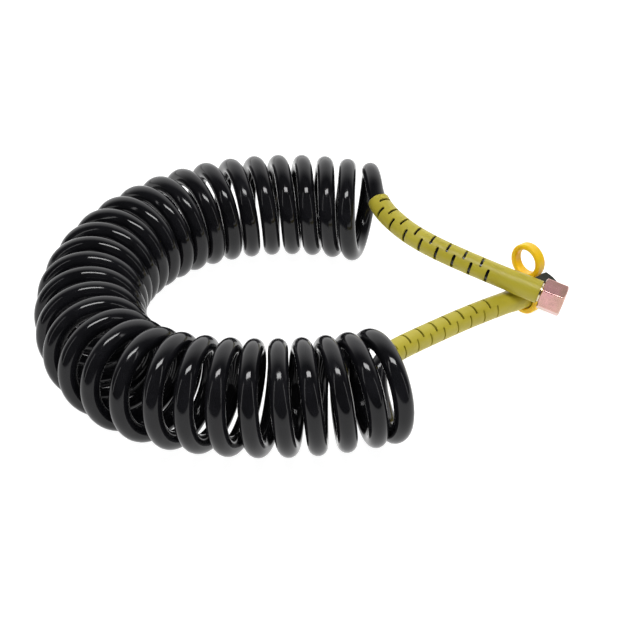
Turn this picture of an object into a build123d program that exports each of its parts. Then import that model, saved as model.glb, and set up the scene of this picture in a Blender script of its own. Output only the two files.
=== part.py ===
"""Coiled air brake hose with slotted anti-kink sleeves and swivel nuts.

The coil lies on the ground, bent into a C that opens towards +X. Both tails
run to the middle of the open side: the upper tail crosses over the lower one.
Lengths are in millimetres, +Z is up and the ground is Z = 0.
"""
from build123d import *
import os
from math import cos, radians, sin, tan

os.makedirs("parts", exist_ok=True)

# Hose
HOSE_OD = 12.7
HOSE_BORE = 9.5

# Coil: one fat tube of the coil's outer diameter, bent along tangent arcs
COIL_RADIUS = 31.15
COIL_OD = 2 * COIL_RADIUS + HOSE_OD
COIL_START = (50.5, 100.8)
COIL_HEADING = 154.8
COIL_ARCS = ((150.0, 41.3), (125.0, 96.0), (85.0, 54.0), (225.0, 36.2))

# Tails: points from the fitting back into the coil
UPPER_ROUTE = (
    (162.6, 11.1, 29.8),
    (122.0, 26.6, 39.2),
    (83.4, 47.0, 47.3),
    (58.9, 73.5, 54.7),
    (39.4, 99.4, 62.5),
)
LOWER_ROUTE = (
    (159.7, 30.0, 15.2),
    (123.3, 4.6, 19.1),
    (86.0, -27.8, 22.9),
    (57.0, -55.8, 22.0),
    (38.5, -86.8, 13.5),
)
ARC_SHARE = 0.45

# Anti-kink sleeve, a straight flared end over the ferrule
SLEEVE_LENGTH = 140.0
SLEEVE_OD = 15.6
SLEEVE_BORE = 13.0
SLEEVE_END_OD = 16.4
SLEEVE_END_LENGTH = 17.0
SLEEVE_CONE_LENGTH = 6.0

# Ferrule, crimped over the end of the hose
FERRULE_LENGTH = 20.0
FERRULE_OD = 14.9
CRIMP_DEPTH = 0.25
CRIMP_WIDTH = 2.0
CRIMP_PLACES = (-17.0, -11.5, -6.0)

# Stem: distances run from the end of the hose towards the mouth of the nut
STEM_BORE = 6.0
SHANK_LENGTH = 23.0
SHANK_ROOT = 4.1
BARB_COUNT = 4
BARB_PITCH = 4.4
BARB_RAMP = 3.0
BARB_LAND = 0.8
SEAL_GROOVE = (-4.3, -3.3)
SEAL_SECTION = 1.0
STOP_COLLAR = (0.9, 6.8)
NECK_RADIUS = 5.5
HEAD_START = 5.2
HEAD_END = 7.2
HEAD_RADIUS = 7.0

# Wire ring that keeps the nut on the stem
WIRE_SECTION = 1.2
WIRE_PLACE = 3.0
WIRE_PLAY = 0.1

# Flat seal on the stem's head
FACE_SEAL_THICKNESS = 1.4
FACE_SEAL_INNER = 4.2
FACE_SEAL_OUTER = 6.9

# Swivel nut, M16 x 1.5
NUT_ACROSS_FLATS = 20.6
NUT_START = 1.2
NUT_LENGTH = 16.5
NUT_RUNNING_GAP = 0.06
NUT_SHOULDER = 5.0
RELIEF_RADIUS = 7.6
THREAD_START = 9.6
THREAD_RADIUS = 7.19
MOUTH_CHAMFER = 1.0
CORNER_CHAMFER = 1.1
CORNER_ROUND = 0.9
UPPER_NUT_TURN = 15.0
LOWER_NUT_TURN = 8.0

# Ring clip: two eyes in one moulding, the lower one round the lower sleeve
CLIP_GAP = 0.55
CLIP_WALL = 4.0
CLIP_WIDTH = 7.5
CLIP_PITCH = 27.6
CLIP_NECK = 6.0
CLIP_PLACE = -4.85
CLIP_LEAN = 6.0
CLIP_TURN = 8.0
CLIP_EDGE = 1.4


def cord_radii(points):
    """Arc radii for the corners of a route, as large as its runs allow."""
    radii = []
    for before, corner, after in zip(points, points[1:], points[2:]):
        run_in = Vector(corner) - Vector(before)
        run_out = Vector(after) - Vector(corner)
        turn = radians(run_in.get_angle(run_out))
        shorter = min(run_in.length, run_out.length)
        radii.append(ARC_SHARE * shorter / tan(turn / 2))
    return radii


def fitting_plane(route):
    """Plane at the end of the hose: z along the fitting, x level, y upwards."""
    end = Vector(route[0])
    along = (end - Vector(route[1])).normalized()
    return Plane(origin=end, x_dir=Vector(-along.Y, along.X, 0), z_dir=along)


def turning_plane(frame):
    """Sketch plane through a fitting's axis: x along the axis, y the radius."""
    return Plane(origin=frame.origin, x_dir=frame.z_dir, z_dir=-frame.x_dir)


def fitting_axis(frame):
    return Axis(frame.origin, frame.z_dir)


# Coil
with BuildPart() as coil:
    with BuildLine() as coil_axis:
        heading = COIL_HEADING
        corner = Vector(*COIL_START, COIL_OD / 2)
        for arc_radius, arc_angle in COIL_ARCS:
            outward = Vector(sin(radians(heading)), -cos(radians(heading)))
            centre = corner - outward * arc_radius
            CenterArc(centre, arc_radius, heading - 90, arc_angle)
            heading += arc_angle
            outward = Vector(sin(radians(heading)), -cos(radians(heading)))
            corner = centre + outward * arc_radius
    coil_path = coil_axis.wires()[0]
    with BuildSketch(Plane(origin=coil_path @ 0, z_dir=coil_path % 0)):
        Circle(COIL_OD / 2)
    sweep(path=coil_path)
coil.part.label = "coil"
export_step(coil.part, "parts/coil.step")
print("coil: length", round(coil_path.length, 1), "volume", round(coil.part.volume))

for side, route, nut_turn in (
    ("upper", UPPER_ROUTE, UPPER_NUT_TURN),
    ("lower", LOWER_ROUTE, LOWER_NUT_TURN),
):
    frame = fitting_plane(route)
    axis = fitting_axis(frame)
    turning = turning_plane(frame)
    radii = cord_radii(route)
    print(side, "tail: arc radii", [round(radius) for radius in radii])
    with BuildLine() as tail_line:
        FilletPolyline(*route, radius=radii)
    tail_path = tail_line.wires()[0]
    sleeve_path = tail_path.trim(0, SLEEVE_LENGTH / tail_path.length)

    # Tail: the hose from the stem's stop collar back to the coil
    with BuildPart() as tail:
        with BuildSketch(frame):
            Circle(HOSE_OD / 2)
            Circle(HOSE_BORE / 2, mode=Mode.SUBTRACT)
        sweep(path=tail_path)
        swept_volume = tail.part.volume
        add(coil.part, mode=Mode.SUBTRACT)
    tail.part.label = f"{side}_tail"
    export_step(tail.part, f"parts/{side}_tail.step")
    section = 3.14159265 * (HOSE_OD**2 - HOSE_BORE**2) / 4
    print(side, "tail: swept / section x length", round(swept_volume / (section * tail_path.length), 4))

    # Sleeve: a thin tube that follows the tail, stretched over the ferrule
    with BuildPart() as sleeve:
        with BuildSketch(frame):
            Circle(SLEEVE_OD / 2)
        sweep(path=sleeve_path)
        with BuildSketch(turning):
            with BuildLine():
                Polyline(
                    (-SLEEVE_END_LENGTH - SLEEVE_CONE_LENGTH, 0),
                    (-SLEEVE_END_LENGTH - SLEEVE_CONE_LENGTH, SLEEVE_OD / 2),
                    (-SLEEVE_END_LENGTH, SLEEVE_END_OD / 2),
                    (0, SLEEVE_END_OD / 2),
                    (0, 0),
                    close=True,
                )
            make_face()
        revolve(axis=axis)
        with BuildSketch(frame):
            Circle(SLEEVE_BORE / 2)
        sweep(path=sleeve_path, mode=Mode.SUBTRACT)
        with BuildSketch(frame):
            Circle(FERRULE_OD / 2)
        extrude(amount=-FERRULE_LENGTH, mode=Mode.SUBTRACT)
    sleeve.part.label = f"{side}_sleeve"
    export_step(sleeve.part, f"parts/{side}_sleeve.step")

    # Ferrule: a steel cap with three crimp bands
    with BuildPart() as ferrule:
        with BuildSketch(frame):
            Circle(FERRULE_OD / 2)
            Circle(HOSE_OD / 2, mode=Mode.SUBTRACT)
        extrude(amount=-FERRULE_LENGTH)
        for place in CRIMP_PLACES:
            with BuildSketch(frame.offset(place)):
                Circle(FERRULE_OD / 2)
                Circle(FERRULE_OD / 2 - CRIMP_DEPTH, mode=Mode.SUBTRACT)
            extrude(amount=CRIMP_WIDTH, mode=Mode.SUBTRACT)
    ferrule.part.label = f"{side}_ferrule"
    export_step(ferrule.part, f"parts/{side}_ferrule.step")

    # Stem: barbed shank, stop collar, neck for the nut and a flat head
    with BuildPart() as stem:
        with BuildSketch(turning):
            with BuildLine():
                outline = [(-SHANK_LENGTH, STEM_BORE / 2), (-SHANK_LENGTH, SHANK_ROOT)]
                for barb in range(BARB_COUNT):
                    foot = -SHANK_LENGTH + barb * BARB_PITCH
                    outline.append((foot + BARB_RAMP, HOSE_BORE / 2))
                    outline.append((foot + BARB_RAMP + BARB_LAND, HOSE_BORE / 2))
                    outline.append((foot + BARB_RAMP + BARB_LAND, SHANK_ROOT))
                    outline.append((foot + BARB_PITCH, SHANK_ROOT))
                groove_root = HOSE_BORE / 2 - SEAL_SECTION
                outline += [
                    (SEAL_GROOVE[0], SHANK_ROOT),
                    (SEAL_GROOVE[0], groove_root),
                    (SEAL_GROOVE[1], groove_root),
                    (SEAL_GROOVE[1], SHANK_ROOT),
                    (0, SHANK_ROOT),
                    (0, STOP_COLLAR[1]),
                    (STOP_COLLAR[0], STOP_COLLAR[1]),
                    (STOP_COLLAR[0], NECK_RADIUS),
                    (WIRE_PLACE - WIRE_SECTION / 2, NECK_RADIUS),
                    (WIRE_PLACE - WIRE_SECTION / 2, NECK_RADIUS - WIRE_SECTION / 2),
                    (WIRE_PLACE + WIRE_SECTION / 2, NECK_RADIUS - WIRE_SECTION / 2),
                    (WIRE_PLACE + WIRE_SECTION / 2, NECK_RADIUS),
                    (HEAD_START, NECK_RADIUS),
                    (HEAD_START, HEAD_RADIUS),
                    (HEAD_END, HEAD_RADIUS),
                    (HEAD_END, STEM_BORE / 2),
                ]
                Polyline(*outline, close=True)
            make_face()
        revolve(axis=axis)
    stem.part.label = f"{side}_stem"
    export_step(stem.part, f"parts/{side}_stem.step")

    # O-ring on the shank, inside the hose
    with BuildPart() as hose_seal:
        with BuildSketch(turning):
            with Locations((sum(SEAL_GROOVE) / 2, HOSE_BORE / 2 - SEAL_SECTION / 2)):
                Circle(SEAL_SECTION / 2)
        revolve(axis=axis)
    hose_seal.part.label = f"{side}_hose_seal"
    export_step(hose_seal.part, f"parts/{side}_hose_seal.step")

    # Wire ring in the neck's groove
    with BuildPart() as thrust_wire:
        with BuildSketch(turning):
            with Locations((WIRE_PLACE, NECK_RADIUS)):
                Circle(WIRE_SECTION / 2)
        revolve(axis=axis)
    thrust_wire.part.label = f"{side}_thrust_wire"
    export_step(thrust_wire.part, f"parts/{side}_thrust_wire.step")

    # Flat washer seal on the head
    with BuildPart() as face_seal:
        with BuildSketch(frame.offset(HEAD_END)):
            Circle(FACE_SEAL_OUTER)
            Circle(FACE_SEAL_INNER, mode=Mode.SUBTRACT)
        extrude(amount=FACE_SEAL_THICKNESS)
    face_seal.part.label = f"{side}_face_seal"
    export_step(face_seal.part, f"parts/{side}_face_seal.step")

    # Swivel nut: hexagon with turned corners and a stepped bore
    with BuildPart() as nut:
        corner_radius = NUT_ACROSS_FLATS / 2 / cos(radians(30))
        nut_end = NUT_START + NUT_LENGTH
        bore_radius = NECK_RADIUS + NUT_RUNNING_GAP
        wire_radius = NECK_RADIUS + WIRE_SECTION / 2 + WIRE_PLAY
        wire_reach = WIRE_SECTION / 2 + WIRE_PLAY
        with BuildSketch(frame.offset(NUT_START)):
            hexagon = RegularPolygon(corner_radius, 6, rotation=nut_turn)
            fillet(hexagon.vertices(), CORNER_ROUND)
        extrude(amount=NUT_LENGTH)
        with BuildSketch(turning):
            with BuildLine():
                Polyline(
                    (NUT_START, 0),
                    (NUT_START, corner_radius - 2 * CORNER_CHAMFER),
                    (NUT_START + CORNER_CHAMFER, corner_radius),
                    (nut_end - CORNER_CHAMFER, corner_radius),
                    (nut_end, corner_radius - 2 * CORNER_CHAMFER),
                    (nut_end, 0),
                    close=True,
                )
            make_face()
        revolve(axis=axis, mode=Mode.INTERSECT)
        with BuildSketch(turning):
            with BuildLine():
                Polyline(
                    (NUT_START, 0),
                    (NUT_START, bore_radius),
                    (WIRE_PLACE - wire_reach, bore_radius),
                    (WIRE_PLACE - wire_reach, wire_radius),
                    (WIRE_PLACE + wire_reach, wire_radius),
                    (WIRE_PLACE + wire_reach, bore_radius),
                    (NUT_SHOULDER, bore_radius),
                    (NUT_SHOULDER, RELIEF_RADIUS),
                    (THREAD_START, RELIEF_RADIUS),
                    (THREAD_START, THREAD_RADIUS),
                    (nut_end - MOUTH_CHAMFER, THREAD_RADIUS),
                    (nut_end, THREAD_RADIUS + MOUTH_CHAMFER),
                    (nut_end, 0),
                    close=True,
                )
            make_face()
        revolve(axis=axis, mode=Mode.SUBTRACT)
    nut.part.label = f"{side}_nut"
    export_step(nut.part, f"parts/{side}_nut.step")
    print(side, "fitting: origin", frame.origin, "axis", frame.z_dir)

# Ring clip on the lower sleeve, its free eye standing up
with BuildPart() as ring_clip:
    eye_bore = SLEEVE_END_OD / 2 + CLIP_GAP
    eye_radius = eye_bore + CLIP_WALL
    lower_frame = fitting_plane(LOWER_ROUTE)
    clip_centre = Plane(
        origin=lower_frame.offset(CLIP_PLACE).origin,
        x_dir=lower_frame.x_dir.rotate(Axis.Z, CLIP_TURN),
        z_dir=lower_frame.z_dir.rotate(Axis.Z, CLIP_TURN),
    )
    clip_frame = clip_centre.offset(-CLIP_WIDTH / 2)
    free_eye = (CLIP_PITCH * sin(radians(CLIP_LEAN)), CLIP_PITCH * cos(radians(CLIP_LEAN)))
    with BuildSketch(clip_frame):
        Circle(eye_radius)
        with Locations(free_eye):
            Circle(eye_radius)
        with Locations((free_eye[0] / 2, free_eye[1] / 2)):
            Rectangle(CLIP_NECK, CLIP_PITCH, rotation=-CLIP_LEAN)
        Circle(eye_bore, mode=Mode.SUBTRACT)
        with Locations(free_eye):
            Circle(eye_bore, mode=Mode.SUBTRACT)
    extrude(amount=CLIP_WIDTH)
    end_faces = ring_clip.faces().sort_by(Axis(clip_frame.origin, clip_frame.z_dir))
    fillet(end_faces[0].edges() + end_faces[-1].edges(), CLIP_EDGE)
ring_clip.part.label = "ring_clip"
export_step(ring_clip.part, "parts/ring_clip.step")
free_centre = clip_centre.from_local_coords(Vector(*free_eye))
print("clip: lower eye", clip_centre.origin, "free eye", free_centre, "axis", clip_centre.z_dir)
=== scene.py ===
"""Looks of a coiled black air hose with slotted yellow sleeves and two union nuts.

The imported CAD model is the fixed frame. The hose is one NURBS cord whose coil is
worked out by a loop. The sleeves follow the cord, and the metal parts are CAD nodes.
Routes are in millimetres, as in the part's source, and Blender's units are metres.
"""

from math import cos, pi, radians, sin

import bmesh
import bpy
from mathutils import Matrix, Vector


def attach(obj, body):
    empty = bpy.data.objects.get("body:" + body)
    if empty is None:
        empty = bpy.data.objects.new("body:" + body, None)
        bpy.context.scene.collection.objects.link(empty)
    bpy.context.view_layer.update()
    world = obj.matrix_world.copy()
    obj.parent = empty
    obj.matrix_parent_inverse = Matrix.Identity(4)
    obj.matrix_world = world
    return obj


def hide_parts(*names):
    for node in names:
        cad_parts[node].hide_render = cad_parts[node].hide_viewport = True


MM = 0.001

# Hose and coil. Each of the coil's arcs is a radius and an angle in plan.
HOSE_RADIUS = 6.35
COIL_RADIUS = 31.15
COIL_START = (45.0, 103.26)
COIL_HEADING = 157.1
COIL_ARCS = ((150.0, 39.0), (125.0, 96.0), (85.0, 54.0), (225.0, 60.0))
TURNS = 30
TURN_STEPS = 12
LAST_STEPS = 5  # steps past the last whole turn, before the tail
END_PITCH = 16.28
EXTRA_PITCH = 2.08
LEANS = (  # (turn, degrees), straight between rows
    (0.0, 12.0),
    (1.0, 9.7),
    (3.0, 4.8),
    (6.0, -1.0),
    (15.0, -4.0),
    (23.5, -10.0),
    (26.5, -4.0),
    (28.0, -3.0),
    (28.8, -1.0),
    (29.75, 1.2),
    (30.2, 5.2),
    (30.5, 7.5),
)

# Tails, from each fitting to the coil
UPPER_ROUTE = (
    (162.6, 11.1, 29.8),
    (122.0, 26.6, 39.2),
    (78.7, 49.6, 48.4),
    (57.9, 72.6, 54.4),
    (50.2, 88.2, 60.2),
    (48.4, 102.8, 67.4),
)
LOWER_ROUTE = (
    (159.7, 30.0, 15.2),
    (123.3, 4.6, 19.1),
    (79.6, -32.0, 23.4),
    (55.0, -55.5, 27.0),
    (47.5, -66.5, 24.5),
    (47.0, -76.0, 15.5),
    (50.0, -88.5, 7.4),
    (53.0, -103.5, 6.4),
)

# Sleeves: distances run from the end of the hose towards the coil
SLEEVE_LENGTH = 140.0
SLEEVE_PROFILE = (  # (distance, radius) over the ferrule
    (0.3, 7.47),
    (0.0, 7.6),
    (0.0, 7.95),
    (0.25, 8.2),
    (16.2, 8.2),
    (18.0, 8.12),
    (22.0, 7.87),
    (24.0, 7.8),
)
SLEEVE_RADIUS = 7.8
SLEEVE_BORE = 6.55
FERRULE_END = 20.2
SLEEVE_SIDES = 96
SLEEVE_STEP = 1.5
STEP_MARGIN = 1.0
OUTER_CORNER = (0.35, 0.3)  # along and across the wall
INNER_CORNER = 0.2
SLOT_RINGS = 16
SLOT_FIRST = 6.0
SLOT_PITCH = 6.4
SLOT_HALF_ANGLE = 49.0
SLOT_STEPS = 20
SLOT_FACING = Vector((0.0, -0.81, 0.59))
SLOT_TILT = 2.0
SLOT_TURN = 45.0
SLOT_TIP = 0.12  # width left at a slot's tip, as a share of its width
UPPER_SLOTS = (1.8, 2.1)
LOWER_SLOTS = (1.6, 1.2)
CUTTER_RADII = (6.1, 9.0)
SHARP_ANGLE = 40.0

# Thread ridges inside the nuts
THREAD_RADIUS = 7.19
THREAD_HEIGHT = 0.45
THREAD_PITCH = 1.5
THREAD_FROM = 9.9
THREAD_TO = 16.5
THREAD_SINK = 0.1
THREAD_HALF_ROOT = 0.55
THREAD_HALF_CREST = 0.1
THREAD_STEPS = 40

# Stage
FLOOR_SIZE = 8.0
LIGHT_TARGET = Vector((0.0, 0.0, 0.03))

# Camera
CAMERA_AIM = (9.6, 19.16, 0.0)
CAMERA_DISTANCE = 1019.0
CAMERA_ELEVATION = 36.0
CAMERA_LENS = 80.42


def set_input(node, name, value):
    """Sets a number, vector or colour on a node's own socket."""
    node.inputs[name].default_value = value


def new_material(name, color, metallic, roughness):
    """Returns a material, its nodes, its links and its shader."""
    material = bpy.data.materials.new(name)
    material.use_nodes = True
    nodes = material.node_tree.nodes
    shader = nodes["Principled BSDF"]
    set_input(shader, "Base Color", (*color, 1.0))
    set_input(shader, "Metallic", metallic)
    set_input(shader, "Roughness", roughness)
    return material, nodes, material.node_tree.links, shader


def noise(nodes, links, scale, detail, stretch=(1.0, 1.0, 1.0)):
    """A noise texture in object space, its scale in cycles per metre."""
    place = nodes.new("ShaderNodeTexCoord")
    mapping = nodes.new("ShaderNodeMapping")
    set_input(mapping, "Scale", stretch)
    texture = nodes.new("ShaderNodeTexNoise")
    set_input(texture, "Scale", scale)
    set_input(texture, "Detail", detail)
    links.new(place.outputs["Object"], mapping.inputs["Vector"])
    links.new(mapping.outputs["Vector"], texture.inputs["Vector"])
    return texture.outputs["Fac"]


def ramp(nodes, links, factor, stops):
    """Colour ramp over factor, with stops of (place, colour)."""
    node = nodes.new("ShaderNodeValToRGB")
    elements = node.color_ramp.elements
    while len(elements) < len(stops):
        elements.new(0.5)
    for element, (place, color) in zip(elements, stops):
        element.position = place
        element.color = (*color, 1.0)
    links.new(factor, node.inputs["Fac"])
    return node.outputs["Color"]


def map_range(nodes, links, value, before, after, smooth=False):
    """Maps the range before to the range after, each given as (low, high)."""
    node = nodes.new("ShaderNodeMapRange")
    if smooth:
        node.interpolation_type = "SMOOTHSTEP"
    set_input(node, "From Min", before[0])
    set_input(node, "From Max", before[1])
    set_input(node, "To Min", after[0])
    set_input(node, "To Max", after[1])
    links.new(value, node.inputs["Value"])
    return node.outputs["Result"]


def spread(nodes, links, factor, low, high):
    """Maps the middle of a noise's range to low and high."""
    return map_range(nodes, links, factor, (0.35, 0.65), (low, high))


def bump(nodes, links, shader, height, distance):
    """Bumps the shader's surface by height, over a distance in metres."""
    node = nodes.new("ShaderNodeBump")
    set_input(node, "Distance", distance)
    set_input(node, "Strength", 1.0)
    links.new(height, node.inputs["Height"])
    links.new(node.outputs["Normal"], shader.inputs["Normal"])


def hose_material():
    """Black nylon: clear gloss over a faintly uneven extruded wall."""
    material, nodes, links, shader = new_material("hose_gloss", (0.006, 0.006, 0.007), 0.0, 0.1)
    set_input(shader, "IOR", 1.36)
    wear = noise(nodes, links, 60.0, 4.0)
    links.new(spread(nodes, links, wear, 0.07, 0.14), shader.inputs["Roughness"])
    tint = ramp(nodes, links, wear, ((0.3, (0.004, 0.004, 0.005)), (0.7, (0.009, 0.009, 0.011))))
    links.new(tint, shader.inputs["Base Color"])
    bump(nodes, links, shader, noise(nodes, links, 90.0, 2.0), 0.00004)
    return material


def sleeve_material():
    """Soft lemon yellow plastic with a little mottling."""
    material, nodes, links, shader = new_material("sleeve_satin", (0.45, 0.385, 0.04), 0.0, 0.4)
    cloud = noise(nodes, links, 45.0, 3.0)
    stops = ((0.3, (0.44, 0.372, 0.03)), (0.7, (0.49, 0.424, 0.042)))
    links.new(ramp(nodes, links, cloud, stops), shader.inputs["Base Color"])
    set_input(shader, "Subsurface Weight", 0.08)
    set_input(shader, "Subsurface Radius", (0.002, 0.0018, 0.0004))
    set_input(shader, "Subsurface Scale", 1.0)
    set_input(shader, "Specular IOR Level", 0.35)
    gloss = noise(nodes, links, 400.0, 3.0)
    links.new(spread(nodes, links, gloss, 0.36, 0.5), shader.inputs["Roughness"])
    bump(nodes, links, shader, noise(nodes, links, 900.0, 2.0), 0.00002)
    return material


def clip_material():
    """Moulded orange-yellow plastic."""
    material, nodes, links, shader = new_material("clip_satin", (0.9, 0.57, 0.01), 0.0, 0.35)
    cloud = noise(nodes, links, 120.0, 2.0)
    stops = ((0.3, (0.86, 0.52, 0.006)), (0.7, (0.94, 0.62, 0.014)))
    links.new(ramp(nodes, links, cloud, stops), shader.inputs["Base Color"])
    set_input(shader, "Specular IOR Level", 0.3)
    set_input(shader, "Subsurface Weight", 0.3)
    set_input(shader, "Subsurface Radius", (0.004, 0.002, 0.0003))
    set_input(shader, "Subsurface Scale", 1.0)
    bump(nodes, links, shader, noise(nodes, links, 700.0, 2.0), 0.00002)
    return material


def plated_material(name, colors, low, high, grain):
    """Plated metal: colour clouds, fine turning grain and uneven gloss."""
    material, nodes, links, shader = new_material(name, colors[0], 1.0, low)
    cloud = noise(nodes, links, 70.0, 4.0)
    stops = tuple(zip((0.35, 0.55, 0.75), colors))
    links.new(ramp(nodes, links, cloud, stops), shader.inputs["Base Color"])
    gloss = noise(nodes, links, 250.0, 2.0)
    links.new(spread(nodes, links, gloss, low, high), shader.inputs["Roughness"])
    fine = noise(nodes, links, grain, 1.0, stretch=(1.0, 1.0, 0.12))
    bump(nodes, links, shader, fine, 0.000002)
    return material


def seal_material():
    """Matt black rubber."""
    material, nodes, links, shader = new_material("nitrile", (0.02, 0.02, 0.02), 0.0, 0.55)
    bump(nodes, links, shader, noise(nodes, links, 1500.0, 2.0), 0.00002)
    return material


def floor_material():
    """White studio sweep that glows, so shadows stay faint, and darkens far away."""
    material, nodes, links, shader = new_material("studio_white", (0.35, 0.35, 0.35), 0.0, 0.9)
    set_input(shader, "Emission Color", (1.0, 1.0, 1.0, 1.0))
    set_input(shader, "Specular IOR Level", 0.0)
    place = nodes.new("ShaderNodeTexCoord")
    length = nodes.new("ShaderNodeVectorMath")
    length.operation = "LENGTH"
    links.new(place.outputs["Object"], length.inputs[0])
    glow = map_range(nodes, links, length.outputs["Value"], (0.75, 2.2), (0.97, 0.2), smooth=True)
    links.new(glow, shader.inputs["Emission Strength"])
    return material


def coil_arc_point(distance):
    """Centre line of the coil: its place and heading in plan at a distance."""
    x, y = COIL_START
    heading = radians(COIL_HEADING)
    for number, (radius, angle) in enumerate(COIL_ARCS):
        turn = radians(angle)
        last = number == len(COIL_ARCS) - 1
        if distance <= radius * turn or last:
            turn = distance / radius
        centre_x = x - radius * sin(heading)
        centre_y = y + radius * cos(heading)
        heading += turn
        x = centre_x + radius * sin(heading)
        y = centre_y - radius * cos(heading)
        distance -= radius * turn
        if distance <= 0 or last:
            return x, y, heading


def ring_lean(turn):
    """How far a ring leans out of square with the coil's centre line, in degrees."""
    for (start, low), (end, high) in zip(LEANS, LEANS[1:]):
        if turn <= end:
            break
    return low + (high - low) * (turn - start) / (end - start)


def coil_point(turn):
    """Control point of the helix. The coil's pitch is widest at its middle."""
    wave = TURNS / (4 * pi) * sin(2 * pi * turn / TURNS)
    distance = END_PITCH * min(turn, TURNS) + EXTRA_PITCH * (turn / 2 - wave)
    x, y, heading = coil_arc_point(distance)
    lean = radians(ring_lean(turn))
    across = (sin(heading + lean), -cos(heading + lean))
    reach = COIL_RADIUS / cos(pi / TURN_STEPS)
    angle = pi / 2 - 2 * pi * turn
    height = COIL_RADIUS + HOSE_RADIUS + reach * sin(angle)
    return (x + reach * cos(angle) * across[0], y + reach * cos(angle) * across[1], height)


def hose_points():
    """Every control point of the hose, from the upper fitting to the lower."""
    points = list(UPPER_ROUTE)
    for step in range(1, TURNS * TURN_STEPS + LAST_STEPS + 1):
        points.append(coil_point(step / TURN_STEPS))
    points.extend(reversed(LOWER_ROUTE))
    return [Vector(point) * MM for point in points]


def build_hose(material):
    """The hose's curve, and the points along its centre line."""
    curve = bpy.data.curves.new("hose", "CURVE")
    curve.dimensions = "3D"
    curve.resolution_u = 6
    spline = curve.splines.new("NURBS")
    points = hose_points()
    spline.points.add(len(points) - 1)
    for place, point in zip(spline.points, points):
        place.co = (*point, 1.0)
    spline.order_u = 3
    spline.use_endpoint_u = True
    hose = bpy.data.objects.new("hose", curve)
    bpy.context.scene.collection.objects.link(hose)
    line = bpy.data.meshes.new_from_object(hose)
    centre_line = [vertex.co.copy() for vertex in line.vertices]
    curve.bevel_depth = HOSE_RADIUS * MM
    curve.bevel_resolution = 7
    curve.use_fill_caps = True
    curve.materials.append(material)
    return hose, centre_line


class Line:
    """Places along the hose's centre line, measured in millimetres from a fitting."""

    def __init__(self, points):
        self.points = points
        self.marks = [0.0]
        for a, b in zip(points, points[1:]):
            self.marks.append(self.marks[-1] + (b - a).length / MM)

    def frame(self, distance):
        """Centre, direction, a side that faces the front, and a side that faces up."""
        index = 0
        while index < len(self.marks) - 2 and self.marks[index + 1] < distance:
            index += 1
        start = self.points[index]
        span = self.points[index + 1] - start
        share = (distance - self.marks[index]) / (span.length / MM)
        before = self.points[max(index - 1, 0)]
        after = self.points[index + 2]
        entering = (self.points[index + 1] - before).normalized()
        leaving = (after - start).normalized()
        direction = entering.lerp(leaving, min(max(share, 0.0), 1.0)).normalized()
        front = (SLOT_FACING - SLOT_FACING.dot(direction) * direction).normalized()
        return start + span * share, direction, front, direction.cross(front)


def sleeve_outline():
    """Closed outline of the sleeve's wall as (distance, radius)."""
    outline = list(SLEEVE_PROFILE)
    distance = SLEEVE_PROFILE[-1][0] + SLEEVE_STEP
    while distance < SLEEVE_LENGTH - STEP_MARGIN:
        outline.append((distance, SLEEVE_RADIUS))
        distance += SLEEVE_STEP
    outline.append((SLEEVE_LENGTH - OUTER_CORNER[0], SLEEVE_RADIUS))
    outline.append((SLEEVE_LENGTH, SLEEVE_RADIUS - OUTER_CORNER[1]))
    outline.append((SLEEVE_LENGTH, SLEEVE_BORE + INNER_CORNER))
    outline.append((SLEEVE_LENGTH - INNER_CORNER, SLEEVE_BORE))
    distance = SLEEVE_LENGTH - SLEEVE_STEP
    while distance > FERRULE_END + STEP_MARGIN:
        outline.append((distance, SLEEVE_BORE))
        distance -= SLEEVE_STEP
    outline.append((FERRULE_END, SLEEVE_BORE))
    outline.append((FERRULE_END, SLEEVE_PROFILE[0][1]))
    return outline


def ring_mesh(name, rings, closed):
    """Mesh from equal rings of points. Closed joins the last ring to the first."""
    mesh = bmesh.new()
    rows = [[mesh.verts.new(point) for point in ring] for ring in rings]
    pairs = list(zip(rows, rows[1:]))
    if closed:
        pairs.append((rows[-1], rows[0]))
    for one, two in pairs:
        count = len(one)
        for i in range(count):
            j = (i + 1) % count
            mesh.faces.new((one[i], one[j], two[j], two[i]))
    if not closed:
        mesh.faces.new(rows[0])
        mesh.faces.new(rows[-1])
    bmesh.ops.recalc_face_normals(mesh, faces=mesh.faces)
    data = bpy.data.meshes.new(name)
    mesh.to_mesh(data)
    mesh.free()
    thing = bpy.data.objects.new(name, data)
    bpy.context.scene.collection.objects.link(thing)
    return thing


def slot_rings(line, distance, middle, width):
    """Rings of a cutter that is bent round the hose, with rounded ends."""
    centre, direction, front, up = line.frame(distance)
    inner, outer = CUTTER_RADII
    rings = []
    for step in range(SLOT_STEPS + 1):
        share = 2 * step / SLOT_STEPS - 1
        angle = radians(middle + SLOT_HALF_ANGLE * share)
        to_end = (1 - abs(share)) * radians(SLOT_HALF_ANGLE) * SLEEVE_RADIUS
        half = width / 2
        if to_end < half:
            half = max((half**2 - (half - to_end) ** 2) ** 0.5, SLOT_TIP * half)
        outward = front * cos(angle) + up * sin(angle)
        corners = []
        for radius, side in ((inner, -1), (inner, 1), (outer, 1), (outer, -1)):
            corners.append(centre + (outward * radius + direction * side * half) * MM)
        rings.append(corners)
    return rings


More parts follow.
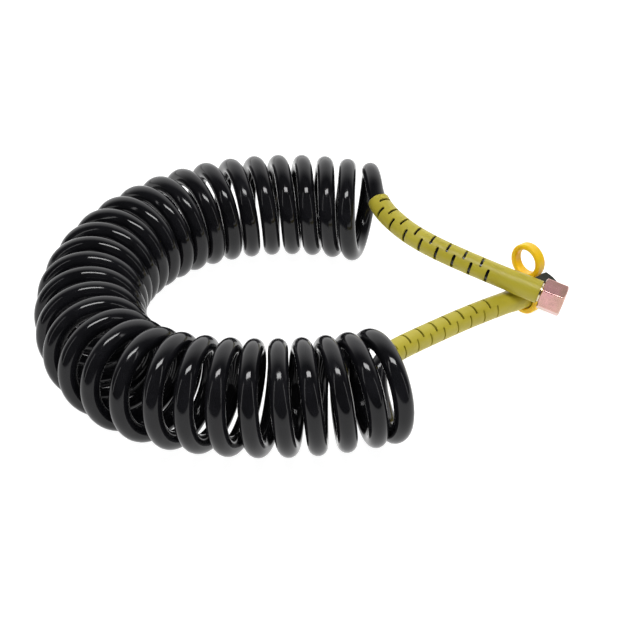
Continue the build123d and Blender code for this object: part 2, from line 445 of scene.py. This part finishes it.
def cut_slots(sleeve, line, widths):
    """Cuts the staggered slots. Widths are for the rows up and down the sleeve."""
    cutters = []
    for number in range(SLOT_RINGS):
        distance = SLEEVE_LENGTH - SLOT_FIRST - number * SLOT_PITCH
        even = number % 2 == 0
        middle = SLOT_TILT + (SLOT_TURN if even else -SLOT_TURN)
        width = widths[0] if even else widths[1]
        for opposite in (0.0, 180.0):
            rings = slot_rings(line, distance, middle + opposite, width)
            cutters.append(ring_mesh("slot_cutter", rings, closed=False))
    for cutter in cutters:
        cutter.select_set(True)
    bpy.context.view_layer.objects.active = cutters[0]
    sleeve.select_set(False)
    bpy.ops.object.join()
    modifier = sleeve.modifiers.new("slots", "BOOLEAN")
    modifier.object = cutters[0]
    modifier.solver = "EXACT"
    bpy.context.view_layer.objects.active = sleeve
    bpy.ops.object.modifier_apply(modifier=modifier.name)
    bpy.data.objects.remove(cutters[0])


def build_sleeve(name, points, widths, material):
    """Slotted yellow sleeve that follows the hose's centre line."""
    line = Line(points)
    rings = []
    for distance, radius in sleeve_outline():
        centre, direction, front, up = line.frame(distance)
        ring = []
        for side in range(SLEEVE_SIDES):
            angle = 2 * pi * side / SLEEVE_SIDES
            ring.append(centre + (front * cos(angle) + up * sin(angle)) * radius * MM)
        rings.append(ring)
    sleeve = ring_mesh(name, rings, closed=True)
    bpy.ops.object.select_all(action="DESELECT")
    cut_slots(sleeve, line, widths)
    sleeve.data.materials.clear()
    sleeve.data.materials.append(material)
    sleeve.data.shade_smooth()
    sleeve.data.set_sharp_from_angle(angle=radians(SHARP_ANGLE))
    return sleeve


def build_thread(name, route, material):
    """Thread ridge inside a nut, on the axis of its fitting."""
    end = Vector(route[0])
    axis = (end - Vector(route[1])).normalized()
    side = Vector((-axis.y, axis.x, 0.0)).normalized()
    up = axis.cross(side)
    steps = int((THREAD_TO - THREAD_FROM) / THREAD_PITCH * THREAD_STEPS)
    root = THREAD_RADIUS + THREAD_SINK
    crest = root - THREAD_HEIGHT
    section = (
        (root, -THREAD_HALF_ROOT),
        (crest, -THREAD_HALF_CREST),
        (crest, THREAD_HALF_CREST),
        (root, THREAD_HALF_ROOT),
    )
    rings = []
    for step in range(steps + 1):
        angle = 2 * pi * step / THREAD_STEPS
        centre = end + axis * (THREAD_FROM + THREAD_PITCH * step / THREAD_STEPS)
        outward = side * cos(angle) + up * sin(angle)
        rings.append([(centre + axis * along + outward * radius) * MM for radius, along in section])
    thread = ring_mesh(name, rings, closed=False)
    thread.data.materials.append(material)
    return thread


def dress(node, material):
    """Gives a shown CAD node its material."""
    node.data.materials.clear()
    node.data.materials.append(material)


def area_light(name, place, size, power):
    """Rectangular light at a place in metres, turned towards the object."""
    light = bpy.data.lights.new(name, "AREA")
    light.shape = "RECTANGLE"
    light.size = size[0]
    light.size_y = size[1]
    light.energy = power
    lamp = bpy.data.objects.new(name, light)
    lamp.location = place
    lamp.rotation_euler = (LIGHT_TARGET - Vector(place)).to_track_quat("-Z", "Y").to_euler()
    lamp.visible_camera = False
    bpy.context.scene.collection.objects.link(lamp)


def build_world():
    """Studio surroundings: a bright back and ceiling, and a dark room in front."""
    world = bpy.data.worlds.new("studio")
    bpy.context.scene.world = world
    world.use_nodes = True
    nodes = world.node_tree.nodes
    links = world.node_tree.links
    background = nodes["Background"]
    place = nodes.new("ShaderNodeTexCoord")
    split = nodes.new("ShaderNodeSeparateXYZ")
    links.new(place.outputs["Generated"], split.inputs["Vector"])
    back = map_range(nodes, links, split.outputs["Y"], (0.1, 0.7), (0.07, 1.5), smooth=True)
    path = nodes.new("ShaderNodeLightPath")
    seen = nodes.new("ShaderNodeMix")
    set_input(seen, "B", 0.95)
    links.new(path.outputs["Is Camera Ray"], seen.inputs["Factor"])
    links.new(back, seen.inputs["A"])
    links.new(seen.outputs["Result"], background.inputs["Strength"])
    set_input(background, "Color", (1.0, 1.0, 1.0, 1.0))


def build_stage(material):
    """White floor, lights and surroundings."""
    mesh = bmesh.new()
    bmesh.ops.create_grid(mesh, x_segments=1, y_segments=1, size=FLOOR_SIZE)
    data = bpy.data.meshes.new("floor")
    mesh.to_mesh(data)
    mesh.free()
    floor = bpy.data.objects.new("floor", data)
    floor.data.materials.append(material)
    bpy.context.scene.collection.objects.link(floor)
    area_light("softbox", (0.03, -0.23, 0.8), (0.55, 0.15), 4.8)
    area_light("left_strip", (-1.25, -0.58, 0.62), (0.12, 1.2), 1.4)
    area_light("right_strip", (1.25, -0.58, 0.62), (0.12, 1.2), 1.4)
    build_world()


def build_camera():
    """Camera in front of the object, looking down at it."""
    camera = bpy.data.cameras.new("camera")
    camera.lens = CAMERA_LENS
    camera.sensor_width = 36.0
    eye = bpy.data.objects.new("camera", camera)
    tilt = radians(CAMERA_ELEVATION)
    aim = Vector(CAMERA_AIM)
    offset = Vector((0.0, -cos(tilt), sin(tilt))) * CAMERA_DISTANCE
    eye.location = (aim + offset) * MM
    eye.rotation_euler = (-offset).to_track_quat("-Z", "Y").to_euler()
    bpy.context.scene.collection.objects.link(eye)
    bpy.context.scene.camera = eye


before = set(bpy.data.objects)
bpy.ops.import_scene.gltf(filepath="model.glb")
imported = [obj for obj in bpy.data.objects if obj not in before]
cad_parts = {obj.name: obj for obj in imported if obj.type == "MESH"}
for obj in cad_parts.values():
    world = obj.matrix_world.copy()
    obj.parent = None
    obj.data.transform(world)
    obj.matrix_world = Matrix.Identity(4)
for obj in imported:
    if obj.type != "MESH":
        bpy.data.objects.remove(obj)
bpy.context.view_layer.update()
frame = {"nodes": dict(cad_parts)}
nodes = frame["nodes"]

hose_look = hose_material()
sleeve_look = sleeve_material()
clip_look = clip_material()
pink_look = plated_material(
    "pink_zinc", ((0.7, 0.37, 0.37), (0.6, 0.37, 0.3), (0.46, 0.36, 0.22)), 0.2, 0.28, 400.0
)
# Near-black metal colour clouds over the whole lower nut and its thread.
dark_look = plated_material(
    "near_black_metal", ((0.017, 0.017, 0.013), (0.024, 0.023, 0.017), (0.015, 0.017, 0.017)), 0.28, 0.38, 400.0
)
zinc_look = plated_material(
    "bright_zinc", ((0.6, 0.5, 0.32), (0.68, 0.6, 0.42), (0.55, 0.5, 0.42)), 0.2, 0.3, 500.0
)
wire_look = plated_material(
    "drawn_wire", ((0.4, 0.4, 0.42), (0.46, 0.46, 0.47), (0.36, 0.36, 0.38)), 0.25, 0.35, 600.0
)
seal_look = seal_material()

hose, centre_line = build_hose(hose_look)
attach(hose, "hose")
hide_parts("coil", "upper_tail", "lower_tail")

upper_sleeve = build_sleeve("upper_slotted_sleeve", centre_line, UPPER_SLOTS, sleeve_look)
lower_sleeve = build_sleeve("lower_slotted_sleeve", centre_line[::-1], LOWER_SLOTS, sleeve_look)
for sleeve, node in ((upper_sleeve, "upper_sleeve"), (lower_sleeve, "lower_sleeve")):
    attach(sleeve, "hose")
    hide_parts(node)

for side, route, slot, look in (
    ("upper", UPPER_ROUTE, "nut_iridescent", pink_look),
    ("lower", LOWER_ROUTE, "nut_dark", dark_look),
):
    thread = build_thread(f"{side}_thread", route, look)
    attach(thread, f"{side}_union_nut")
    dress(nodes[f"{side}_nut"], look)
    dress(nodes[f"{side}_ferrule"], zinc_look)
    dress(nodes[f"{side}_stem"], zinc_look)
    dress(nodes[f"{side}_thrust_wire"], wire_look)
    dress(nodes[f"{side}_hose_seal"], seal_look)
    dress(nodes[f"{side}_face_seal"], seal_look)
dress(nodes["ring_clip"], clip_look)

build_stage(floor_material())
build_camera()
bpy.context.scene.view_settings.view_transform = "Standard"
